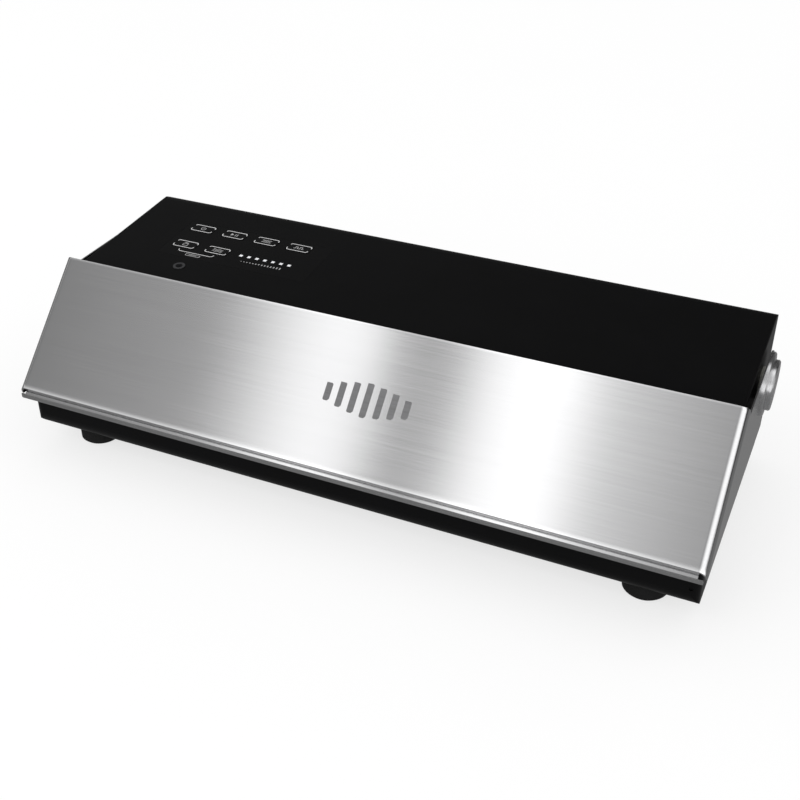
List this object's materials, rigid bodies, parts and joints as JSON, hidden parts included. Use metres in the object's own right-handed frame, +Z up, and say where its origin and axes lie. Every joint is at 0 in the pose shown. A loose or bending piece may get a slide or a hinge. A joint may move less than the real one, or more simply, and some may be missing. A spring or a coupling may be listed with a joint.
{
  "type": "vacuum sealer",
  "caption": "Countertop vacuum sealer: a sloping brushed-steel lid on side pivots over a heated seal bar and vacuum trough, with a black pump housing and key panel behind.",
  "frame": {"origin": "on the table, under the middle of the machine's box", "axes": "+X across the machine to the right, +Y from front to back, +Z up"},
  "size_m": [0.4092, 0.168, 0.0994],
  "materials": {
    "housing_plastic": "black, fine spark-eroded grain with a soft gloss",
    "panel_film": "black printed film",
    "key_plastic": "black, with a white printed outline",
    "light_pipe": "white diffusing plastic",
    "led_body": "clear epoxy",
    "plated_metal": "zinc plated",
    "circuit_board": "solder mask",
    "port_plastic": "dark grey moulded ring",
    "deck_plastic": "black moulded",
    "gasket_foam": "closed-cell foam",
    "silicone": "silicone rubber",
    "bar_plastic": "glass-filled bar",
    "release_tape": "PTFE-coated glass cloth",
    "foot_rubber": "matt black rubber",
    "bush_nylon": "natural nylon",
    "sensor_metal": "dark sintered metal",
    "transformer_core": "taped winding on a core",
    "capacitor_sleeve": "shrink sleeve",
    "motor_steel": "plated steel",
    "lid_steel": "stainless sheet, brushed across the machine",
    "pivot_metal": "turned and satin",
    "pin_steel": "turned steel"
  },
  "bodies": {
    "housing": {"lower_housing": "housing_plastic", "upper_housing": "housing_plastic", "control_overlay": "panel_film", "light_pipes": "light_pipe", "indicator_leds": "led_body", "key_switches": "plated_metal", "control_board": "circuit_board", "hose_port": "port_plastic", "seal_deck": "deck_plastic", "vacuum_trough": "deck_plastic", "lower_gasket": "gasket_foam", "seal_bar": "bar_plastic", "heating_strip": "plated_metal", "release_tape": "release_tape", "foot_front_left": "foot_rubber", "foot_front_right": "foot_rubber", "foot_rear_left": "foot_rubber", "foot_rear_right": "foot_rubber", "foot_screws": "plated_metal", "housing_screws": "plated_metal", "board_screws": "plated_metal", "pivot_bush_left": "bush_nylon", "pivot_bush_right": "bush_nylon", "lid_sensor": "sensor_metal", "cord_gland": "deck_plastic", "power_board": "circuit_board", "transformer": "transformer_core", "capacitors": "capacitor_sleeve", "pump_cushion": "foot_rubber", "crankcase": "deck_plastic", "diaphragm": "foot_rubber", "pump_head": "deck_plastic", "pump_screws": "plated_metal", "motor_case": "motor_steel", "motor_magnets": "sensor_metal", "release_valve": "deck_plastic", "port_hose": "silicone", "pump_hose": "silicone"},
    "lid": {"lid_shell": "lid_steel", "lid_liner": "deck_plastic", "upper_gasket": "gasket_foam", "press_strip": "silicone", "liner_screws": "plated_metal", "lid_magnet": "sensor_metal", "hinge_pin_left": "pin_steel", "hinge_pin_right": "pin_steel", "pivot_boss_left": "pivot_metal", "pivot_boss_right": "pivot_metal", "pivot_cap_left": "pivot_metal", "pivot_cap_right": "pivot_metal"},
    "rotor": {"rotor": "motor_steel", "eccentric": "motor_steel", "cooling_fan": "deck_plastic"},
    "connecting_rod": {"connecting_rod": "bush_nylon"},
    "key_1": {"key_1": "key_plastic"},
    "key_2": {"key_2": "key_plastic"},
    "key_3": {"key_3": "key_plastic"},
    "key_4": {"key_4": "key_plastic"},
    "key_5": {"key_5": "key_plastic"},
    "key_6": {"key_6": "key_plastic"}
  },
  "joints": [
    {"name": "lid_hinge", "type": "hinge", "parent": "housing", "child": "lid", "pos_m": [0, 0.0425, 0.07402], "axis": [-1, 0, 0], "range_deg": [0, 65]},
    {"name": "key_1_press", "type": "slide", "parent": "housing", "child": "key_1", "axis": [0, 0.0732, -0.9973], "range_m": [0, 0.0005], "stiffness_N_per_m": 300, "springref_m": -0.002},
    {"name": "key_2_press", "type": "slide", "parent": "housing", "child": "key_2", "axis": [0, 0.0732, -0.9973], "range_m": [0, 0.0005], "stiffness_N_per_m": 300, "springref_m": -0.002},
    {"name": "key_3_press", "type": "slide", "parent": "housing", "child": "key_3", "axis": [0, 0.0732, -0.9973], "range_m": [0, 0.0005], "stiffness_N_per_m": 300, "springref_m": -0.002},
    {"name": "key_4_press", "type": "slide", "parent": "housing", "child": "key_4", "axis": [0, 0.0732, -0.9973], "range_m": [0, 0.0005], "stiffness_N_per_m": 300, "springref_m": -0.002},
    {"name": "key_5_press", "type": "slide", "parent": "housing", "child": "key_5", "axis": [0, 0.0732, -0.9973], "range_m": [0, 0.0005], "stiffness_N_per_m": 300, "springref_m": -0.002},
    {"name": "key_6_press", "type": "slide", "parent": "housing", "child": "key_6", "axis": [0, 0.0732, -0.9973], "range_m": [0, 0.0005], "stiffness_N_per_m": 300, "springref_m": -0.002},
    {"name": "rotor_spin", "type": "hinge", "parent": "housing", "child": "rotor", "pos_m": [0, 0.02568, 0.044], "axis": [1, 0, 0], "continuous": true},
    {"name": "rod_turn", "type": "hinge", "parent": "rotor", "child": "connecting_rod", "pos_m": [0, 0.02568, 0.0455], "axis": [1, 0, 0], "continuous": true}
  ],
  "couplings": [
    {"joint": "rod_turn", "follows": "rotor_spin", "ratio": -1}
  ]
}
